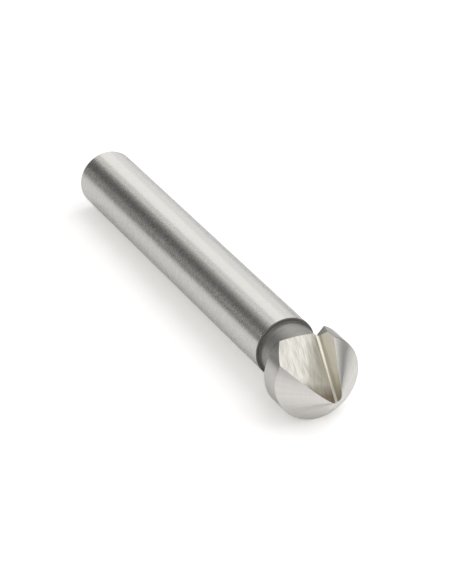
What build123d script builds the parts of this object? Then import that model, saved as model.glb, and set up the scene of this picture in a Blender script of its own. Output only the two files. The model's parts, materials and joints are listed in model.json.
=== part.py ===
from build123d import *

import os
from math import atan, cos, radians, sin, tan

# A single-flute 90 degree countersink, ground from one bar of high-speed steel.
# It lies on its side: it touches the ground at the shank's rear rim and at the land's rear rim,
# so its axis climbs a little towards the tip. +X is towards the tip and +Z is up.
# Stations are measured along the axis from the shank's rear face, in millimetres.
# Directions round the axis are measured from the top, anticlockwise as seen from the tip,
# which is the way in which the tooth faces.

# Driving dimensions: lengths along the axis, from the rear face to the corner of the cone
shank_length = 40.0
neck_length = 3.45
land_length = 2.44

# Driving dimensions: diameters, and how far the neck is turned down below the shank
shank_diameter = 6.0
head_diameter = 8.3
neck_rear_depth = 0.35
neck_front_depth = 0.25

# Driving dimensions: edges and corners of the blank
rear_chamfer = 0.4
front_edge_break = 0.08
head_back_lean = 13.0
neck_rear_fillet = 0.12
neck_front_fillet = 0.3

# Driving dimensions: the cone and the relief ground on it
cone_angle = 90.0
relief_offset = 0.82
relief_lead = 0.4
relief_direction = 255.0

# Driving dimensions: the flute, a straight V groove from the tip to the back of the head
rake_past_centre = 0.36
rake_direction = -17.5
root_angle = 33.2
root_behind_tip = 1.52
flute_opening = 99.2
root_fillet = 0.2

# Driving dimensions: the run-out notch, a V where the flute's root leaves the back of the head
notch_angle = 40.0
notch_tooth_side = 23.0
notch_floor_side = 54.5

# Derived sizes
shank_radius = shank_diameter / 2
neck_rear_radius = shank_radius - neck_rear_depth
neck_front_radius = shank_radius - neck_front_depth
head_radius = head_diameter / 2
lean_slope = tan(radians(head_back_lean))
cone_slope = tan(radians(cone_angle / 2))
back_station = shank_length + neck_length
rim_station = back_station + (head_radius - neck_front_radius) * lean_slope
corner_station = rim_station + land_length
apex_station = corner_station + head_radius / cone_slope

# The flute takes the apex away, and the tip is the nearest point that it leaves on the cone
tip_station = apex_station - rake_past_centre / cone_slope

# How it lies: the tilt that brings both rims down to the ground
tilt = atan((head_radius - shank_radius) / (rim_station - rear_chamfer))
rear_face_radius = shank_radius - rear_chamfer
rear_x = -(tip_station * cos(tilt) - rear_face_radius * sin(tilt)) / 2
rear_z = shank_radius * cos(tilt) - rear_chamfer * sin(tilt)

# Directions and planes of the tool
forward = Vector(cos(tilt), 0, sin(tilt))
upward = Vector(-sin(tilt), 0, cos(tilt))
rear_centre = Vector(rear_x, 0, rear_z)
tool = Plane(origin=rear_centre, x_dir=upward, z_dir=forward)
tool_axis = Axis(rear_centre, forward)
profile_plane = Plane(origin=rear_centre, x_dir=forward, z_dir=forward.cross(upward))


def around(direction):
    """The unit vector across the axis at a direction round it, in degrees."""
    across = Vector(cos(radians(direction)), sin(radians(direction)), 0)
    return tool.from_local_coords(across) - rear_centre


# The relief cone has its own axis, parallel to the tool's and a little to one side of it
relief_origin = rear_centre + around(relief_direction) * relief_offset
relief_plane = Plane(origin=relief_origin, x_dir=forward, z_dir=forward.cross(upward))
relief_length = apex_station + relief_lead

# The flute runs along its root, in the plane of the rake face
rake_outward = around(rake_direction)
rake_normal = around(rake_direction + 90)
root_run = forward * cos(radians(root_angle)) - rake_outward * sin(radians(root_angle))
root_station = tip_station - root_behind_tip
root_point = rear_centre + forward * root_station - rake_normal * rake_past_centre
flute_plane = Plane(origin=root_point, x_dir=-rake_normal, z_dir=root_run)
flute_reach = 2 * head_diameter
floor_end = (-flute_reach * sin(radians(flute_opening)), flute_reach * cos(radians(flute_opening)))

# The notch runs in the plane of the rake face too, up from the front corner of the neck
notch_run = rake_outward * sin(radians(notch_angle)) + forward * cos(radians(notch_angle))
notch_root = (
    rear_centre
    + forward * back_station
    + rake_outward * neck_front_radius
    - rake_normal * rake_past_centre
)
notch_plane = Plane(origin=notch_root, x_dir=-rake_normal, z_dir=notch_run)
notch_reach = head_diameter
tooth_side_end = (notch_reach * sin(radians(notch_tooth_side)), notch_reach * cos(radians(notch_tooth_side)))
floor_side_end = (-notch_reach * sin(radians(notch_floor_side)), notch_reach * cos(radians(notch_floor_side)))

with BuildPart() as countersink:
    # Turned blank: shank, neck, the back of the head, the land and the cone
    with BuildSketch(profile_plane) as blank_section:
        with BuildLine():
            Polyline(
                (0, 0),
                (0, rear_face_radius),
                (rear_chamfer, shank_radius),
                (shank_length - front_edge_break, shank_radius),
                (shank_length, shank_radius - front_edge_break),
                (shank_length, neck_rear_radius),
                (back_station, neck_front_radius),
                (rim_station, head_radius),
                (corner_station, head_radius),
                (apex_station, 0),
                close=True,
            )
        make_face()
        neck_rear_corner = blank_section.vertices().sort_by_distance((shank_length, neck_rear_radius))[0]
        fillet(neck_rear_corner, radius=neck_rear_fillet)
        neck_front_corner = blank_section.vertices().sort_by_distance((back_station, neck_front_radius))[0]
        fillet(neck_front_corner, radius=neck_front_fillet)
    revolve(axis=tool_axis)

    # Relief: behind the cutting edge the cone is ground down to a second cone, off the axis
    with BuildSketch(relief_plane):
        with BuildLine():
            Polyline((0, 0), (0, relief_length * cone_slope), (relief_length, 0), close=True)
        make_face()
    revolve(axis=Axis(relief_origin, forward), mode=Mode.INTERSECT)

    # Flute: one straight V groove, with the rake face on one wall and the floor on the other
    with BuildSketch(flute_plane) as flute_section:
        with BuildLine():
            Polyline((0, 0), (0, flute_reach), (-flute_reach, flute_reach), floor_end, close=True)
        make_face()
        fillet(flute_section.vertices().sort_by_distance((0, 0))[0], radius=root_fillet)
    extrude(amount=flute_reach, both=True, mode=Mode.SUBTRACT)

    # Run-out notch: a short V that opens the end of the root through the back of the head
    with BuildSketch(notch_plane):
        with BuildLine():
            Polyline((0, 0), tooth_side_end, floor_side_end, close=True)
        make_face()
    extrude(amount=notch_reach, mode=Mode.SUBTRACT)

countersink.part.label = "countersink"

os.makedirs("parts", exist_ok=True)
export_step(countersink.part, "parts/countersink.step")
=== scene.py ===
import json
from math import atan2, cos, hypot, pi, radians, sin, tan

import bmesh
import bpy
from bpy.props import FloatProperty, FloatVectorProperty, IntProperty, PointerProperty
from bpy.types import Operator, Panel, PropertyGroup
from mathutils import Matrix, Vector


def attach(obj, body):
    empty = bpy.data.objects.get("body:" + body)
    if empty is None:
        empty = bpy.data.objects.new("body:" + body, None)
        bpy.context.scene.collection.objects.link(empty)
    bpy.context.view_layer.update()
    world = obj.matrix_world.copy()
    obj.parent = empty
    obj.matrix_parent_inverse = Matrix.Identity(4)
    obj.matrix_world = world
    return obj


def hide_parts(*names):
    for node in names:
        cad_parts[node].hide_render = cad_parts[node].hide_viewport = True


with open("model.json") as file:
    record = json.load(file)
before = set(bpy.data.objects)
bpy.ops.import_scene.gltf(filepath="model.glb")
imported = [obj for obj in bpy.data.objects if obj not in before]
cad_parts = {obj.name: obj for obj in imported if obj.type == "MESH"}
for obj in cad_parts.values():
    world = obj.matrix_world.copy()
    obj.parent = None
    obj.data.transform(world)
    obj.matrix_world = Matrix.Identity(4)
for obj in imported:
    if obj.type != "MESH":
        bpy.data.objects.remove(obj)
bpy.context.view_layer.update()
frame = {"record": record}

bl_info = {
    "name": "Countersink Bit",
    "version": (1, 0, 0),
    "blender": (4, 5, 0),
    "location": "3D View > Sidebar > Countersink",
    "description": "Grinds a countersink bit from one steel blank and lays it on a pale floor",
    "category": "Add Mesh",
}

# Millimetres in a metre: properties and Blender's objects are in metres, and the bench in millimetres
MM = 1000

# The bench is where the bit is modelled: in millimetres, with +X along its axis from the rear face to
# the tip. The record's mount at the shank's end says where the rear face is as the bit lies, and which
# way its axis runs.
SHANK_END = next(mount for mount in frame["record"]["mounts"] if mount["name"] == "shank_end")
REAR_CENTRE = Vector(SHANK_END["pos_m"])
FORWARD = -Vector(SHANK_END["axis"])
TILT = atan2(FORWARD.z, FORWARD.x)
LAY_DOWN = Matrix.Translation(REAR_CENTRE) @ Matrix.Rotation(-TILT, 4, "Y") @ Matrix.Scale(1 / MM, 4)

# The surfaces of the bit, in the order of its material slots
SHANK, END, SHOULDER, NECK, LAND, CONE, FLOOR, ROOT, RAKE, NOTCH = range(10)

# Tolerances in millimetres: points nearer than WELD are one point, and what is nearer than NEAR to a
# station or a radius is on it
WELD = 1e-4
NEAR = 1e-3

# Rounding at the two edges of the rear chamfer, in millimetres
FACE_EDGE_ROUND = 0.12
SHANK_EDGE_ROUND = 0.16

# The relief's waste reaches from this far ahead of the head's rear rim to this far past the apex of its
# cone, in millimetres
RELIEF_AHEAD_OF_RIM = 0.8
RELIEF_PAST_APEX = 1.0

# Faces that turn by less than this where they meet are one smooth surface
SMOOTH_CORNER = radians(12)
SMOOTH_EDGE = radians(14)

BLACK = (0.0, 0.0, 0.0, 1.0)

# Nearly all of a noise lies between these two values: its hollows are near the first and its crests near
# the second
HOLLOW = 0.3
CREST = 0.7

# The wheel's scratches in the flute are a few hundredths of a millimetre apart, too fine to show. They are
# drawn 0.11 mm apart in strokes of 1.1 mm, over broader ones, in millimetres across and along the flute
FLUTE_LINES = (0.11, 0.11, 1.1)
FLUTE_BROAD = (0.55, 0.55, 1.8)
FLUTE_ROOT_LINES = (0.1, 0.1, 2.0)

# How many times longer than wide the marks of turning and grinding are, round the bit and on its cone
RING_LENGTH = 60
CONE_RING_LENGTH = 40

# How much of each finish's pattern comes from its coarser part: the mottle of a round surface, the broad
# strokes of the flute, and on the cone its rings
MOTTLE_SHARE = 0.4
BROAD_SHARE = 0.4
CONE_RING_SHARE = 0.35

# How far the border of a zone in the flute wanders with the broad strokes, in millimetres
ZONE_WAVE = 0.5

# Feed of the tool that faced the rear end, in millimetres
FACING_FEED = 0.13

# Width of the cone's streaks round its axis, in radians. It is wider than real ones, so that they show
CONE_STREAK = 0.16

# Panels that stand round the bit for its steel to mirror. Each has its name, the azimuths where it starts
# and ends and the lowest and highest elevation that the bit sees of it, in degrees, its distance in metres
# and its colour
PANELS = [
    ("studio_wall", -133.0, 60.0, 0.0, 17.0, 0.6, "4c4b4a"),
    ("side_wall", 60.0, 135.0, 0.0, 23.0, 0.6, "141414"),
    ("low_wall", -180.0, -133.0, 0.0, 11.0, 0.6, "c4c3c0"),
    ("grey_card", -184.0, -171.0, 12.0, 46.0, 0.5, "e4e3e0"),
    ("black_card", -171.0, -133.0, 12.5, 37.0, 0.5, "131313"),
]

# Lamps. Each has its name, its azimuth and elevation in degrees, its distance, width and height in metres,
# the radiance of its face, and whether steel mirrors it: one that it doesn't lights only what is matt
LAMPS = [
    ("key_soft_box", 80.0, 55.0, 0.5, 0.55, 0.55, 0.15, True),
    ("back_soft_box", 170.0, 30.0, 0.5, 0.30, 0.36, 0.2, True),
    ("key_on_the_floor", 75.0, 60.0, 0.5, 0.6, 0.6, 1.6, False),
    ("low_fill_at_the_head", -35.0, 38.0, 0.16, 0.1, 0.1, 1.7, False),
]
WARM_WHITE = (1.0, 0.985, 0.96)

# A panel is bent in steps of this many degrees
PANEL_STEP = 4

# Strength of the sky where it lights the floor, and of the floor's own glow where the camera sees it and
# where steel mirrors it
SKY_ON_FLOOR = 0.48
GLOW_SEEN = 0.42
GLOW_MIRRORED = 0.12

# Where the camera stands, in metres, and which way it looks
CAMERA_PLACE = Vector((0.19738437, -0.09688222, 0.12901728))
CAMERA_LOOKING = Vector((-0.77531911, 0.38611432, -0.49979596))


def length(name, description, default):
    """A length that a user may change. The default is in millimetres and the property in metres."""
    return FloatProperty(
        name=name,
        description=description,
        default=default / MM,
        min=0.0,
        precision=5,
        subtype="DISTANCE",
        unit="LENGTH",
    )


def angle(name, description, default):
    """An angle that a user may change. The default is in degrees and the property in radians."""
    return FloatProperty(
        name=name, description=description, default=radians(default), subtype="ANGLE", unit="ROTATION"
    )


def linear(hex_code):
    """The linear colour of an sRGB hex code, such as c8c6c0."""
    channels = [int(hex_code[i : i + 2], 16) / 255 for i in (0, 2, 4)]
    return tuple(c / 12.92 if c <= 0.04045 else ((c + 0.055) / 1.055) ** 2.4 for c in channels) + (1.0,)


def colour(name, description, hex_code):
    """A colour that a user may change, given as an sRGB hex code."""
    return FloatVectorProperty(
        name=name,
        description=description,
        default=linear(hex_code),
        size=4,
        min=0.0,
        max=1.0,
        subtype="COLOR",
    )


class BlankSizes(PropertyGroup):
    """Sizes of the turned blank, from its rear face to the corner of its cone."""

    shank_diameter: length("Shank diameter", "Diameter of the plain round shank", 6.0)
    shank_length: length("Shank length", "From the rear face to the front rim of the shank", 40.0)
    neck_length: length("Neck length", "From the shank's front rim to the back of the head", 3.45)
    land_length: length("Land length", "From the head's rear rim to the corner of the cone", 2.44)
    head_diameter: length("Head diameter", "Diameter of the land, the widest part", 8.3)
    neck_rear_depth: length("Neck depth, rear", "How far the neck is turned down behind", 0.35)
    neck_front_depth: length("Neck depth, front", "How far the neck is turned down in front", 0.25)
    rear_chamfer: length("Rear chamfer", "Chamfer round the rear face", 0.4)
    front_break: length("Front edge break", "Broken edge at the shank's front rim", 0.08)
    neck_rear_fillet: length("Neck fillet, rear", "Corner radius of the turning tool, behind", 0.12)
    neck_front_fillet: length("Neck fillet, front", "Corner radius of the turning tool, in front", 0.3)
    back_lean: angle("Head back lean", "How far the back of the head leans from square", 13.0)
    cone_angle: angle("Cone angle", "Full angle of the cone", 90.0)
    segments: IntProperty(
        name="Segments", description="Steps round a full turn", default=256, min=32, max=512
    )


class GrindSizes(PropertyGroup):
    """Sizes of what is ground into the blank: the relief, the flute and its run-out notch."""

    relief_offset: length("Relief offset", "How far the relief cone's axis is off the tool's", 0.82)
    relief_lead: length("Relief lead", "How far the relief cone's apex is ahead of the tool's", 0.4)
    relief_direction: angle("Relief direction", "Direction of the offset, from the top", 255.0)
    rake_past_centre: length("Rake past centre", "How far the rake face is past the axis", 0.36)
    rake_direction: angle("Rake direction", "Direction of the rake face, from the top", -17.5)
    root_angle: angle("Root angle", "Angle between the flute's root and the axis", 33.2)
    root_behind_tip: length("Root behind tip", "Where the root crosses the axis, behind the tip", 1.52)
    flute_opening: angle("Flute opening", "Angle between the rake face and the flute floor", 99.2)
    root_fillet: length("Root fillet", "Radius in the root of the flute", 0.2)
    notch_angle: angle("Notch angle", "Angle between the notch and the axis", 40.0)
    notch_tooth_side: angle("Notch tooth side", "Lean of the notch's wall in the tooth", 23.0)
    notch_floor_side: angle("Notch floor side", "Lean of the notch's other wall", 54.5)
    corner_round: length("Corner round", "Rounding where the land meets the relief", 0.09)
    honed_edge: length("Honed edge", "Width of the finest break on a ground edge", 0.02)


class SteelFinish(PropertyGroup):
    """Colours of the steel as each tool left it, with painted light in the flute's, the root's and the
    rake's, and how coarse its marks are.

    Real grinding marks are a few hundredths of a millimetre apart. They are drawn coarser, to show.
    """

    ground: colour("Ground steel", "Colour of the ground shank, land and cone", "d7d5d1")
    turned: colour("Turned steel", "Colour of the neck, which isn't ground after hardening", "a9a7a2")
    # Brighter than such steel usually is: painted light for the soft box that the flute's floor mirrors
    flute: colour("Flute steel", "Colour of the flute, ground last and brightest", "eae7df")
    # Near white: a painted highlight along the root, over what its rounded corner mirrors
    root: colour("Root steel", "Colour of the flute's root, a smooth bright line", "fbf8ec")
    rake: colour("Rake steel", "Colour of the rake face, warmer than the rest", "fffaee")
    grind_pitch: length("Grinding mark pitch", "Spacing of the grinding marks that show", 0.09)
    turn_pitch: length("Turning mark pitch", "Feed of the turning tool on the neck", 0.16)


class StageSettings(PropertyGroup):
    """The floor and the lens."""

    floor_radius: length("Floor radius", "Radius of the round floor", 2500.0)
    lens: FloatProperty(
        name="Lens", description="Focal length", default=163.19, min=1.0, subtype="DISTANCE_CAMERA"
    )


def add_node(tree, kind, inputs=(), **settings):
    """Adds a node with its own settings, and gives each of its inputs a value or a link."""
    node = tree.nodes.new(kind)
    for key, value in settings.items():
        setattr(node, key, value)
    for key, value in dict(inputs).items():
        if isinstance(value, bpy.types.NodeSocket):
            tree.links.new(value, node.inputs[key])
        else:
            node.inputs[key].default_value = value
    return node


def around(from_top):
    """The unit vector across the axis, at an angle from the top towards the way the tooth faces."""
    return Vector((0, -sin(from_top), cos(from_top)))


def stations(blank, grind):
    """Where the blank's corners are along its axis, in millimetres from the rear face."""
    head = blank.head_diameter * MM / 2
    shank = blank.shank_diameter * MM / 2
    front = shank - blank.neck_front_depth * MM
    shank_end = blank.shank_length * MM
    back = shank_end + blank.neck_length * MM
    rim = back + (head - front) * tan(blank.back_lean)
    corner = rim + blank.land_length * MM
    slope = tan(blank.cone_angle / 2)
    apex = corner + head / slope
    tip = apex - grind.rake_past_centre * MM / slope
    return {"shank": shank_end, "back": back, "rim": rim, "corner": corner, "apex": apex, "tip": tip}


def spin_solid(bm, points, centre, steps):
    """Spins a profile of (station, radius) points into a solid round a line along the bench's X."""
    verts = [bm.verts.new((station, centre.y, centre.z + radius)) for station, radius in points]
    edges = [bm.edges.new(pair) for pair in zip(verts, verts[1:])]
    bmesh.ops.spin(
        bm,
        geom=verts + edges,
        cent=(0, centre.y, centre.z),
        axis=(1, 0, 0),
        angle=2 * pi,
        steps=steps,
        use_merge=True,
    )
    bmesh.ops.remove_doubles(bm, verts=bm.verts[:], dist=WELD)
    bmesh.ops.recalc_face_normals(bm, faces=bm.faces[:])


def round_ring(bm, station, radius, size, segments=6):
    """Rounds the edges of one ring of the blank, found by its station and radius."""
    ring = [
        edge
        for edge in bm.edges
        if all(
            abs(vert.co.x - station) < NEAR and abs(hypot(vert.co.y, vert.co.z) - radius) < NEAR
            for vert in edge.verts
        )
    ]
    if not ring:
        raise RuntimeError(f"there is no ring at station {station} and radius {radius}")
    bmesh.ops.bevel(
        bm, geom=ring, offset=size, segments=segments, profile=0.5, affect="EDGES", material=-1
    )


def turn_blank(bm, blank, grind):
    """Turns the blank: shank, neck, back of the head, land and cone."""
    at = stations(blank, grind)
    shank = blank.shank_diameter * MM / 2
    head = blank.head_diameter * MM / 2
    chamfer = blank.rear_chamfer * MM
    edge_break = blank.front_break * MM
    rear = shank - blank.neck_rear_depth * MM
    front = shank - blank.neck_front_depth * MM
    taper = atan2(front - rear, at["back"] - at["shank"])
    profile = [
        (0, 0),
        (0, shank - chamfer),
        (chamfer, shank),
        (at["shank"] - edge_break, shank),
        (at["shank"], shank - edge_break),
        (at["shank"], rear),
        (at["back"], front),
        (at["rim"], head),
        (at["corner"], head),
        (at["apex"], 0),
    ]
    spin_solid(bm, profile, Vector((0, 0, 0)), blank.segments)
    rear_corner = (pi / 2 + taper) / 2
    front_corner = (pi / 2 + blank.back_lean - taper) / 2
    round_ring(bm, 0, shank - chamfer, FACE_EDGE_ROUND, 4)
    round_ring(bm, chamfer, shank, SHANK_EDGE_ROUND, 4)
    round_ring(bm, at["shank"], rear, blank.neck_rear_fillet * MM / tan(rear_corner))
    round_ring(bm, at["back"], front, blank.neck_front_fillet * MM / tan(front_corner))
    for face in bm.faces:
        station = face.calc_center_median().x
        if station < NEAR:
            face.material_index = END
        elif station < at["shank"] - edge_break - NEAR:
            face.material_index = SHANK
        elif station < at["shank"] + blank.neck_rear_fillet * MM:
            face.material_index = SHOULDER
        elif station < at["rim"] - NEAR:
            face.material_index = NECK
        elif station < at["corner"] - NEAR:
            face.material_index = LAND
        else:
            face.material_index = CONE


def relief_waste(bm, blank, grind):
    """What the relief grinding takes away: all that is outside a second cone, off the axis."""
    at = stations(blank, grind)
    slope = tan(blank.cone_angle / 2)
    apex = at["apex"] + grind.relief_lead * MM
    start = at["rim"] + RELIEF_AHEAD_OF_RIM
    end = apex + RELIEF_PAST_APEX
    far = 2 * blank.head_diameter * MM
    profile = [(apex, 0), (start, (apex - start) * slope), (start, far), (end, far), (end, 0)]
    centre = around(grind.relief_direction) * grind.relief_offset * MM
    spin_solid(bm, profile, centre, 2 * blank.segments)
    for face in bm.faces:
        face.material_index = CONE


def prism(bm, corners, placing, back, ahead):
    """A prism on a flat outline: drawn on the plane of placing, it runs back and ahead along its Z."""
    face = bm.faces.new([bm.verts.new((x, y, -back)) for x, y in corners])
    top = bmesh.ops.extrude_face_region(bm, geom=[face])
    raised = [item for item in top["geom"] if isinstance(item, bmesh.types.BMVert)]
    bmesh.ops.translate(bm, verts=raised, vec=(0, 0, back + ahead))
    bmesh.ops.recalc_face_normals(bm, faces=bm.faces[:])
    bmesh.ops.transform(bm, matrix=placing, verts=bm.verts[:])


def placing(origin, x_axis, z_axis):
    """The matrix that puts a flat outline's plane at an origin, by the directions of its X and Z."""
    y_axis = z_axis.cross(x_axis)
    turn = Matrix((x_axis, y_axis, z_axis)).transposed()
    return Matrix.Translation(origin) @ turn.to_4x4()


def flute_frame(blank, grind):
    """The flute's plane: X out of the rake face into the metal, Y up the rake face, Z along the root."""
    at = stations(blank, grind)
    out = around(grind.rake_direction)
    normal = around(grind.rake_direction + pi / 2)
    run = Vector((1, 0, 0)) * cos(grind.root_angle) - out * sin(grind.root_angle)
    crossing = Vector((at["tip"] - grind.root_behind_tip * MM, 0, 0))
    origin = crossing - normal * grind.rake_past_centre * MM
    return placing(origin, -normal, run)


def flute_waste(bm, blank, grind):
    """What the flute wheel takes away: a straight V, one wall the rake face and one the floor."""
    reach = 2 * blank.head_diameter * MM
    opening = grind.flute_opening
    corners = [(0, 0), (0, reach), (-reach, reach), (-reach * sin(opening), reach * cos(opening))]
    plane = flute_frame(blank, grind)
    prism(bm, corners, plane, reach, reach)
    origin, run = plane.translation, plane.to_3x3() @ Vector((0, 0, 1))
    rake_out = plane.to_3x3() @ Vector((1, 0, 0))
    root = [
        edge
        for edge in bm.edges
        if all((vert.co - origin).cross(run).length < NEAR for vert in edge.verts)
    ]
    for face in bm.faces:
        face.material_index = RAKE if face.normal.dot(rake_out) > 0.99 else FLOOR
    rounding = bmesh.ops.bevel(
        bm,
        geom=root,
        offset=grind.root_fillet * MM / tan(opening / 2),
        segments=10,
        profile=0.5,
        affect="EDGES",
        material=-1,
    )
    for face in rounding["faces"]:
        face.material_index = ROOT


def notch_waste(bm, blank, grind):
    """What the run-out of the flute takes away: a short V through the back of the head."""
    at = stations(blank, grind)
    out = around(grind.rake_direction)
    normal = around(grind.rake_direction + pi / 2)
    front = (blank.shank_diameter / 2 - blank.neck_front_depth) * MM
    reach = blank.head_diameter * MM
    run = out * sin(grind.notch_angle) + Vector((1, 0, 0)) * cos(grind.notch_angle)
    origin = Vector((at["back"], 0, 0)) + out * front - normal * grind.rake_past_centre * MM
    corners = [
        (0, 0),
        (reach * sin(grind.notch_tooth_side), reach * cos(grind.notch_tooth_side)),
        (-reach * sin(grind.notch_floor_side), reach * cos(grind.notch_floor_side)),
    ]
    prism(bm, corners, placing(origin, -normal, run), 0, reach)
    for face in bm.faces:
        face.material_index = NOTCH


def bench_object(name, shape, blank, grind, materials):
    """An object in millimetres on the bench, whose mesh one of the shaping functions makes."""
    bm = bmesh.new()
    shape(bm, blank, grind)
    mesh = bpy.data.meshes.new(name)
    bm.to_mesh(mesh)
    bm.free()
    for material in materials:
        mesh.materials.append(material)
    thing = bpy.data.objects.new(name, mesh)
    bpy.context.scene.collection.objects.link(thing)
    return thing


def finished_mesh(thing, name):
    """The mesh of an object with its modifiers applied."""
    bpy.context.view_layer.update()
    graph = bpy.context.evaluated_depsgraph_get()
    mesh = bpy.data.meshes.new_from_object(
        thing.evaluated_get(graph), preserve_all_data_layers=True, depsgraph=graph
    )
    if not mesh.polygons:
        raise RuntimeError(f"{thing.name} came out empty")
    mesh.name = name
    return mesh


def weigh_edges(bm, grind):
    """Marks how far each edge is rounded: most between land and relief, a hair on every other corner."""
    weights = bm.edges.layers.float.get("bevel_weight_edge") or bm.edges.layers.float.new(
        "bevel_weight_edge"
    )
    hair = grind.honed_edge / grind.corner_round
    for edge in bm.edges:
        if len(edge.link_faces) != 2:
            raise RuntimeError("the cut blank isn't closed")
        regions = {face.material_index for face in edge.link_faces}
        turn = edge.calc_face_angle(0)
        if regions == {LAND, CONE} and turn > SMOOTH_CORNER:
            edge[weights] = 1.0
        elif turn > SMOOTH_EDGE and regions & {LAND, CONE, FLOOR, RAKE, NOTCH} and ROOT not in regions:
            edge[weights] = hair


def placed_coordinates(tree, place):
    """Object coordinates in millimetres, as they are on a plane or bench that a matrix puts in place."""
    own = add_node(tree, "ShaderNodeTexCoord")
    origin, turn, size = place.decompose()
    mapping = add_node(
        tree,
        "ShaderNodeMapping",
        {"Vector": own.outputs["Object"], "Location": origin, "Rotation": turn.to_euler(), "Scale": size},
        vector_type="TEXTURE",
    )
    return mapping.outputs[0]


def marks(tree, coordinates, spacing, detail=2.0):
    """Tool marks: noise from 0 to 1 whose grains have the given sizes in millimetres, one for each axis."""
    stretched = add_node(
        tree,
        "ShaderNodeMapping",
        {"Vector": coordinates, "Scale": tuple(1 / size for size in spacing)},
    )
    noise = add_node(
        tree, "ShaderNodeTexNoise", {"Vector": stretched.outputs[0], "Scale": 1.0, "Detail": detail}
    )
    return noise.outputs[0]


def darker(shade, share):
    """A colour with its light lowered by a share."""
    return tuple(channel * (1 - share) for channel in shade[:3]) + (1.0,)


def steel(name, roughness, anisotropic, stretch):
    """A steel material whose highlights stretch along one direction, across its tool marks."""
    material = bpy.data.materials.new(name)
    material.use_nodes = True
    tree = material.node_tree
    shader = tree.nodes["Principled BSDF"]
    shader.inputs["Metallic"].default_value = 1.0
    shader.inputs["Roughness"].default_value = roughness
    shader.inputs["Anisotropic"].default_value = anisotropic
    tangent = add_node(tree, "ShaderNodeCombineXYZ", dict(enumerate(stretch)))
    tree.links.new(tangent.outputs[0], shader.inputs["Tangent"])
    return material, tree, shader


def dress(tree, shader, shade, contrast, rough, pattern, height, depth, tones=(HOLLOW, CREST)):
    """Dresses a shader by a pattern of tool marks, whose hollows are darker and rougher than its crests.

    Contrast is the share of light that a hollow loses, rough the roughness in a hollow and on a crest,
    and tones the pattern's values that come out darkest and lightest. The height makes a bump of a depth
    in millimetres.
    """
    gloom = add_node(
        tree,
        "ShaderNodeMapRange",
        {"Value": pattern, "From Min": tones[0], "From Max": tones[1], "To Min": contrast, "To Max": 0.0},
    )
    base = add_node(tree, "ShaderNodeMix", {0: gloom.outputs[0], 6: shade, 7: BLACK}, data_type="RGBA")
    sheen = add_node(
        tree,
        "ShaderNodeMapRange",
        {"Value": pattern, "From Min": HOLLOW, "From Max": CREST, "To Min": rough[0], "To Max": rough[1]},
    )
    bump = add_node(tree, "ShaderNodeBump", {"Height": height, "Strength": 1.0, "Distance": depth / MM})
    tree.links.new(base.outputs[2], shader.inputs["Base Color"])
    tree.links.new(sheen.outputs[0], shader.inputs["Roughness"])
    tree.links.new(bump.outputs[0], shader.inputs["Normal"])


def round_finish(name, shade, pitch, mottle, roughness, anisotropic, contrast, depth):
    """Steel turned or ground round its axis: rings of fine marks, and a faint mottle.

    Pitch, mottle and depth are in millimetres. The mottle stands for the speckle of the steel's grains,
    which are far finer, and is drawn as coarse as it needs to show.
    """
    material, tree, shader = steel(name, roughness, anisotropic, FORWARD)
    bench = placed_coordinates(tree, LAY_DOWN)
    rings = marks(tree, bench, (pitch, pitch * RING_LENGTH, pitch * RING_LENGTH))
    grain = marks(tree, bench, (mottle, mottle * 2, mottle * 2), 4.0)
    both = add_node(tree, "ShaderNodeMix", {0: MOTTLE_SHARE, 2: rings, 3: grain}, data_type="FLOAT")
    pattern = both.outputs[0]
    rough = (roughness + 0.012, roughness - 0.012)
    dress(tree, shader, shade, contrast, rough, pattern, height=pattern, depth=depth)
    return material


def cone_finish(name, shade, pitch, roughness):
    """Relief-ground steel: faint streaks run to the tip, over finer rings about the axis."""
    material, tree, shader = steel(name, roughness, 0.1, FORWARD)
    bench = placed_coordinates(tree, LAY_DOWN)
    across = add_node(tree, "ShaderNodeVectorMath", {0: bench, 1: (0, 1, 1)}, operation="MULTIPLY")
    spoke = add_node(tree, "ShaderNodeVectorMath", {0: across.outputs[0]}, operation="NORMALIZE")
    streaks = marks(tree, spoke.outputs[0], (1, CONE_STREAK, CONE_STREAK), 3.0)
    rings = marks(tree, bench, (pitch, pitch * CONE_RING_LENGTH, pitch * CONE_RING_LENGTH))
    both = add_node(tree, "ShaderNodeMix", {0: CONE_RING_SHARE, 2: streaks, 3: rings}, data_type="FLOAT")
    rough = (roughness + 0.04, roughness - 0.03)
    dress(tree, shader, shade, 0.12, rough, both.outputs[0], height=rings, depth=0.002)
    return material


def end_finish(name, shade):
    """Steel faced on the lathe: the marks are rings about the axis, so they follow the radius."""
    material, tree, shader = steel(name, 0.38, 0.0, FORWARD)
    bench = placed_coordinates(tree, LAY_DOWN)
    across = add_node(tree, "ShaderNodeVectorMath", {0: bench, 1: (0, 1, 1)}, operation="MULTIPLY")
    radius = add_node(tree, "ShaderNodeVectorMath", {0: across.outputs[0]}, operation="LENGTH")
    line = add_node(tree, "ShaderNodeCombineXYZ", {0: radius.outputs["Value"]})
    rings = marks(tree, line.outputs[0], (FACING_FEED, 1, 1))
    dress(tree, shader, shade, 0.16, (0.44, 0.33), rings, height=rings, depth=0.003)
    return material


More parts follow.
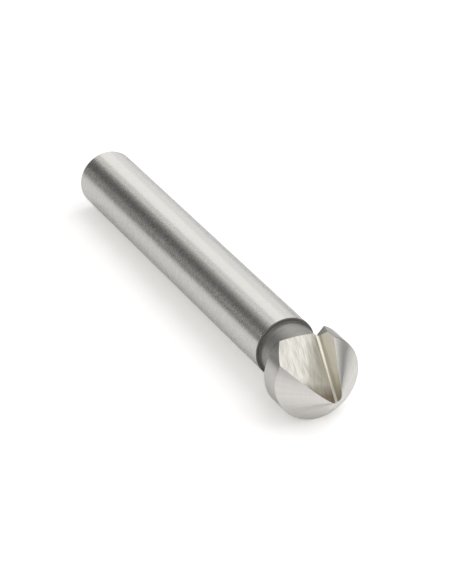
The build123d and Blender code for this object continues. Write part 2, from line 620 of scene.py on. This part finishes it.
def flute_finish(name, shade, plane, across, roughness, anisotropic, contrast, painted_shade_zones):
    """Steel ground lengthwise by the flute wheel, with zones of painted shade laid over its colour.

    Each zone has the direction that leaves it, where along that it is fullest and where it ends, in
    millimetres from where the root crosses the axis, and its colour.
    """
    material, tree, shader = steel(name, roughness, anisotropic, LAY_DOWN.to_3x3().normalized() @ across)
    groove = placed_coordinates(tree, LAY_DOWN @ plane)
    lines = marks(tree, groove, FLUTE_LINES, 3.0)
    broad = marks(tree, groove, FLUTE_BROAD)
    both = add_node(tree, "ShaderNodeMix", {0: BROAD_SHARE, 2: lines, 3: broad}, data_type="FLOAT")
    # Each zone fades a colour of painted shade in along its direction
    for away, fullest, end, painted_tone in painted_shade_zones:
        reach = add_node(
            tree, "ShaderNodeVectorMath", {0: groove, 1: tuple(away)}, operation="DOT_PRODUCT"
        )
        wavy = add_node(
            tree,
            "ShaderNodeMath",
            {0: broad, 1: ZONE_WAVE, 2: reach.outputs["Value"]},
            operation="MULTIPLY_ADD",
        )
        share = add_node(
            tree,
            "ShaderNodeMapRange",
            {
                "Value": wavy.outputs[0],
                "From Min": fullest + ZONE_WAVE / 2,
                "From Max": end + ZONE_WAVE / 2,
            },
        )
        painted_zone = add_node(
            tree, "ShaderNodeMix", {0: share.outputs[0], 6: linear(painted_tone), 7: shade}, data_type="RGBA"
        )
        shade = painted_zone.outputs[2]
    rough = (roughness + 0.05, roughness - 0.05)
    pattern = both.outputs[0]
    dress(tree, shader, shade, contrast, rough, pattern, height=lines, depth=0.003, tones=(0.36, 0.64))
    return material


def root_finish(name, shade, plane):
    """Steel smoothed by the corner of the flute wheel, with faint lines along the root."""
    material, tree, shader = steel(name, 0.5, 0.0, FORWARD)
    groove = placed_coordinates(tree, LAY_DOWN @ plane)
    lines = marks(tree, groove, FLUTE_ROOT_LINES)
    ridge = add_node(tree, "ShaderNodeMapRange", {"Value": lines, "From Min": HOLLOW, "From Max": CREST})
    dress(tree, shader, shade, 0.1, (0.55, 0.45), lines, height=ridge.outputs[0], depth=0.001)
    return material


def finishes(blank, grind, finish):
    """The materials of the bit, one for each of its surfaces, in the order of the slots."""
    ground, turned = tuple(finish.ground), tuple(finish.turned)
    flute, root_steel, rake_steel = tuple(finish.flute), tuple(finish.root), tuple(finish.rake)
    pitch, feed = finish.grind_pitch * MM, finish.turn_pitch * MM
    plane = flute_frame(blank, grind)
    turn = plane.to_3x3()
    opening = grind.flute_opening
    outwards = Vector((-sin(opening), cos(opening), 0))
    up_rake = Vector((0, 1, 0))
    run = Vector((0, 0, 1))
    # Centreless-ground high-speed steel: satin, mirroring the studio in long bands along the shank
    shank = round_finish(
        "ground_shank_high_speed_steel",
        ground,
        pitch,
        mottle=0.3,
        roughness=0.275,
        anisotropic=0.6,
        contrast=0.05,
        depth=0.0001,
    )
    # Rear face: parted off and faced on the lathe, so it is duller than the shank, with fine rings
    end = end_finish("turned_end_high_speed_steel", darker(ground, 0.1))
    # Corner behind the neck: painted shade. Its colour is the turned steel's darkened by 0.42, so that a
    # thin dark line of painted shade ends the shank
    shoulder = round_finish(
        "painted_shade_shoulder_high_speed_steel",
        darker(turned, 0.42),
        feed,
        mottle=0.5,
        roughness=0.6,
        anisotropic=0.0,
        contrast=0.1,
        depth=0.001,
    )
    # Turned before hardening and left as it was: dull and darker, with rings from the tool's feed
    neck = round_finish(
        "turned_neck_high_speed_steel",
        turned,
        feed,
        mottle=0.5,
        roughness=0.46,
        anisotropic=0.0,
        contrast=0.22,
        depth=0.004,
    )
    # Cylindrically ground land: as the shank, with slightly coarser rings. Its colour is the ground steel's
    # darkened by 8 %: painted shade that dims the floor it mirrors
    land = round_finish(
        "ground_land_high_speed_steel",
        darker(ground, 0.08),
        pitch * 1.3,
        mottle=0.35,
        roughness=0.30,
        anisotropic=0.5,
        contrast=0.09,
        depth=0.001,
    )
    # Relief-ground cone: the freshest wheel marks, running to the tip. Its colour is a quarter brighter
    # than the ground steel's, more than such steel usually is: painted light, to brighten the floor it
    # mirrors
    painted_light_cone = tuple(min(1.0, channel * 1.25) for channel in ground[:3]) + (1.0,)
    cone = cone_finish("relief_ground_cone_high_speed_steel", painted_light_cone, pitch * 1.3, roughness=0.42)
    # Flute floor: bright, brushed lengthwise by the wheel. Two zones of painted shade darken it: grey
    # beside the root, and brown at the tip
    floor_painted_shade = [
        (outwards - run * 0.33, 2.0, 3.0, "b9b6ab"),
        (-run - outwards * 0.15, -0.75, 0.5, "857b6c"),
    ]
    floor = flute_finish(
        "ground_flute_floor_high_speed_steel",
        flute,
        plane,
        turn @ outwards,
        roughness=0.36,
        anisotropic=0.5,
        contrast=0.3,
        painted_shade_zones=floor_painted_shade,
    )
    # Root of the flute: the wheel's corner leaves a smooth rounded line. Its near-white colour, brighter
    # than such steel usually is, is a painted highlight along it
    root = root_finish("ground_flute_root_high_speed_steel", root_steel, plane)
    # Rake face: ground by the wheel's flat side. It mirrors the floor of the flute, so it looks warm and
    # dim, and its colour, brighter than such steel usually is, makes up for some of that. Two zones of
    # painted shade darken it low on the face, beside the root, and towards the tip
    rake_painted_shade = [(up_rake, 0.42, 0.72, "dfdac6"), (-run, -0.8, 1.4, "d0cab8")]
    rake = flute_finish(
        "ground_rake_face_high_speed_steel",
        rake_steel,
        plane,
        turn @ up_rake,
        roughness=0.45,
        anisotropic=0.0,
        contrast=0.08,
        painted_shade_zones=rake_painted_shade,
    )
    # Notch: rough from the wheel's run-out. Its colour is the ground steel's darkened by 15 %: painted
    # shade in the notch
    notch = round_finish(
        "run_out_notch_high_speed_steel",
        darker(ground, 0.15),
        pitch=0.2,
        mottle=0.3,
        roughness=0.5,
        anisotropic=0.0,
        contrast=0.2,
        depth=0.003,
    )
    return [shank, end, shoulder, neck, land, cone, floor, root, rake, notch]


class COUNTERSINK_OT_bit(Operator):
    """Turns the blank, grinds the relief, the flute and the notch into it, and lays it down"""

    bl_idname = "countersink.bit"
    bl_label = "Countersink bit"

    def execute(self, context):
        scene = context.scene
        blank, grind = scene.countersink_blank, scene.countersink_grind
        materials = finishes(blank, grind, scene.countersink_finish)
        body = bench_object("bit_blank", turn_blank, blank, grind, materials)
        wastes = {"relief_waste": relief_waste, "flute_waste": flute_waste, "notch_waste": notch_waste}
        cutters = [bench_object(name, shape, blank, grind, materials) for name, shape in wastes.items()]
        for cutter in cutters:
            cut = body.modifiers.new(cutter.name, "BOOLEAN")
            cut.operation = "DIFFERENCE"
            cut.object = cutter
            cut.solver = "EXACT"
            cut.material_mode = "INDEX"
        cut_mesh = finished_mesh(body, "bit_cut")
        body.modifiers.clear()
        bm = bmesh.new()
        bm.from_mesh(cut_mesh)
        bmesh.ops.remove_doubles(bm, verts=bm.verts[:], dist=WELD)
        bmesh.ops.dissolve_degenerate(bm, edges=bm.edges[:], dist=WELD)
        weigh_edges(bm, grind)
        for face in bm.faces:
            face.smooth = True
        bm.to_mesh(cut_mesh)
        bm.free()
        body.data = cut_mesh
        rounding = body.modifiers.new("edges", "BEVEL")
        rounding.affect = "EDGES"
        rounding.limit_method = "WEIGHT"
        rounding.offset_type = "OFFSET"
        rounding.width = grind.corner_round * MM
        rounding.segments = 3
        rounding.profile = 0.5
        rounding.use_clamp_overlap = False
        rounding.material = -1
        weighted = body.modifiers.new("flat faces", "WEIGHTED_NORMAL")
        weighted.mode = "FACE_AREA"
        weighted.weight = 50
        mesh = finished_mesh(body, "countersink_bit")
        mesh.transform(LAY_DOWN)
        piece = bpy.data.objects.new("countersink_bit", mesh)
        scene.collection.objects.link(piece)
        for thing in [body, *cutters]:
            bpy.data.objects.remove(thing)
        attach(piece, "root")
        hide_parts("countersink")
        return {"FINISHED"}


def seen_or_mirrored(tree, seen=1.0, mirrored=1.0):
    """One strength where the camera sees a surface, another where metal or glass shows it, else 0."""
    path = add_node(tree, "ShaderNodeLightPath")
    shown = add_node(
        tree,
        "ShaderNodeMath",
        {0: path.outputs["Is Glossy Ray"], 1: path.outputs["Is Transmission Ray"]},
        operation="MAXIMUM",
    )
    shown = add_node(tree, "ShaderNodeMath", {0: shown.outputs[0], 1: mirrored}, operation="MULTIPLY")
    direct = add_node(
        tree, "ShaderNodeMath", {0: path.outputs["Is Camera Ray"], 1: seen}, operation="MULTIPLY"
    )
    both = add_node(
        tree, "ShaderNodeMath", {0: shown.outputs[0], 1: direct.outputs[0]}, operation="MAXIMUM"
    )
    return both.outputs[0]


def floor_material():
    """White paper sweep: matt, and bright enough to stay white while it keeps the bit's soft shadow."""
    material = bpy.data.materials.new("white_paper_floor")
    material.use_nodes = True
    tree = material.node_tree
    tree.nodes.clear()
    glow = seen_or_mirrored(tree, GLOW_SEEN, GLOW_MIRRORED)
    paper = add_node(tree, "ShaderNodeBsdfDiffuse", {"Color": linear("e0e0e2")})
    white = add_node(tree, "ShaderNodeEmission", {"Color": linear("fffcf7"), "Strength": glow})
    mixed = add_node(tree, "ShaderNodeAddShader", {0: paper.outputs[0], 1: white.outputs[0]})
    add_node(tree, "ShaderNodeOutputMaterial", {"Surface": mixed.outputs[0]})
    return material


def studio_world():
    """A plain white studio: white where it is seen or mirrored, and lower where it lights the floor."""
    world = bpy.data.worlds.new("studio")
    world.use_nodes = True
    tree = world.node_tree
    strength = add_node(
        tree,
        "ShaderNodeMapRange",
        {"Value": seen_or_mirrored(tree), "To Min": SKY_ON_FLOOR, "To Max": 1.0},
    )
    tree.links.new(strength.outputs["Result"], tree.nodes["Background"].inputs["Strength"])
    tree.nodes["Background"].inputs["Color"].default_value = linear("ffffff")
    return world


def place_round(azimuth, elevation, distance):
    """A place round the bit: azimuth from +X towards +Y and elevation above the floor, in degrees."""
    turn, rise = radians(azimuth), radians(elevation)
    return Vector((cos(turn) * cos(rise), sin(turn) * cos(rise), sin(rise))) * distance


def soft_box(name, azimuth, elevation, distance, width, height, radiance, mirrored):
    """A soft box, given the radiance of its face, so that its size doesn't change how bright it looks."""
    data = bpy.data.lights.new(name, "AREA")
    data.shape = "RECTANGLE"
    data.size = width
    data.size_y = height
    data.energy = radiance * width * height * pi
    data.color = WARM_WHITE
    lamp = bpy.data.objects.new(name, data)
    lamp.location = place_round(azimuth, elevation, distance)
    lamp.rotation_euler = (-lamp.location).to_track_quat("-Z", "Y").to_euler()
    lamp.visible_glossy = mirrored
    bpy.context.scene.collection.objects.link(lamp)


def matt_panel(name, start, end, low, high, radius, shade):
    """A curved matt panel, unseen by the camera, which bright steel mirrors as a plain band."""
    bm = bmesh.new()
    foot = place_round(start, 0, radius)
    bottom = bm.verts.new(foot + Vector((0, 0, radius * tan(radians(low)))))
    top = bm.verts.new(foot + Vector((0, 0, radius * tan(radians(high)))))
    edge = bm.edges.new((bottom, top))
    bmesh.ops.spin(
        bm,
        geom=[bottom, top, edge],
        cent=(0, 0, 0),
        axis=(0, 0, 1),
        angle=radians(end - start),
        steps=round((end - start) / PANEL_STEP),
    )
    mesh = bpy.data.meshes.new(name)
    bm.to_mesh(mesh)
    bm.free()
    material = bpy.data.materials.new(f"{name}_matt_cloth")
    material.use_nodes = True
    shader = material.node_tree.nodes["Principled BSDF"]
    shader.inputs["Base Color"].default_value = linear(shade)
    shader.inputs["Roughness"].default_value = 1.0
    shader.inputs["Specular IOR Level"].default_value = 0.0
    mesh.materials.append(material)
    panel = bpy.data.objects.new(name, mesh)
    panel.visible_camera = False
    bpy.context.scene.collection.objects.link(panel)


class COUNTERSINK_OT_stage(Operator):
    """Lays the floor and sets the soft studio light and the camera"""

    bl_idname = "countersink.stage"
    bl_label = "Stage"

    def execute(self, context):
        scene = context.scene
        settings = scene.countersink_stage
        bm = bmesh.new()
        bmesh.ops.create_circle(bm, cap_ends=True, radius=settings.floor_radius, segments=96)
        mesh = bpy.data.meshes.new("floor")
        bm.to_mesh(mesh)
        bm.free()
        mesh.materials.append(floor_material())
        floor = bpy.data.objects.new("floor", mesh)
        scene.collection.objects.link(floor)

        scene.world = studio_world()
        for panel in PANELS:
            matt_panel(*panel)
        for lamp in LAMPS:
            soft_box(*lamp)

        lens = bpy.data.cameras.new("camera")
        lens.sensor_fit = "AUTO"
        lens.sensor_width = 36.0
        lens.lens = settings.lens
        lens.clip_start, lens.clip_end = 0.01, 10.0
        camera = bpy.data.objects.new("camera", lens)
        camera.location = CAMERA_PLACE
        camera.rotation_euler = CAMERA_LOOKING.to_track_quat("-Z", "Y").to_euler()
        scene.collection.objects.link(camera)
        scene.camera = camera
        scene.view_settings.view_transform = "Standard"
        return {"FINISHED"}


class COUNTERSINK_PT_panel(Panel):
    """The sizes and finishes of the bit, and the buttons that build it"""

    bl_label = "Countersink"
    bl_idname = "COUNTERSINK_PT_panel"
    bl_space_type = "VIEW_3D"
    bl_region_type = "UI"
    bl_category = "Countersink"

    def draw(self, context):
        for group_name in GROUPS:
            group = getattr(context.scene, group_name)
            box = self.layout.box()
            for key in group.__annotations__:
                box.prop(group, key)
        self.layout.operator(COUNTERSINK_OT_bit.bl_idname)
        self.layout.operator(COUNTERSINK_OT_stage.bl_idname)


GROUPS = {
    "countersink_blank": BlankSizes,
    "countersink_grind": GrindSizes,
    "countersink_finish": SteelFinish,
    "countersink_stage": StageSettings,
}
CLASSES = [*GROUPS.values(), COUNTERSINK_OT_bit, COUNTERSINK_OT_stage, COUNTERSINK_PT_panel]


def register():
    for cls in CLASSES:
        bpy.utils.register_class(cls)
    for name, group in GROUPS.items():
        setattr(bpy.types.Scene, name, PointerProperty(type=group))


def unregister():
    for name in GROUPS:
        delattr(bpy.types.Scene, name)
    for cls in reversed(CLASSES):
        bpy.utils.unregister_class(cls)


def main():
    register()
    bpy.ops.countersink.bit()
    bpy.ops.countersink.stage()


if __name__ == "__main__":
    main()
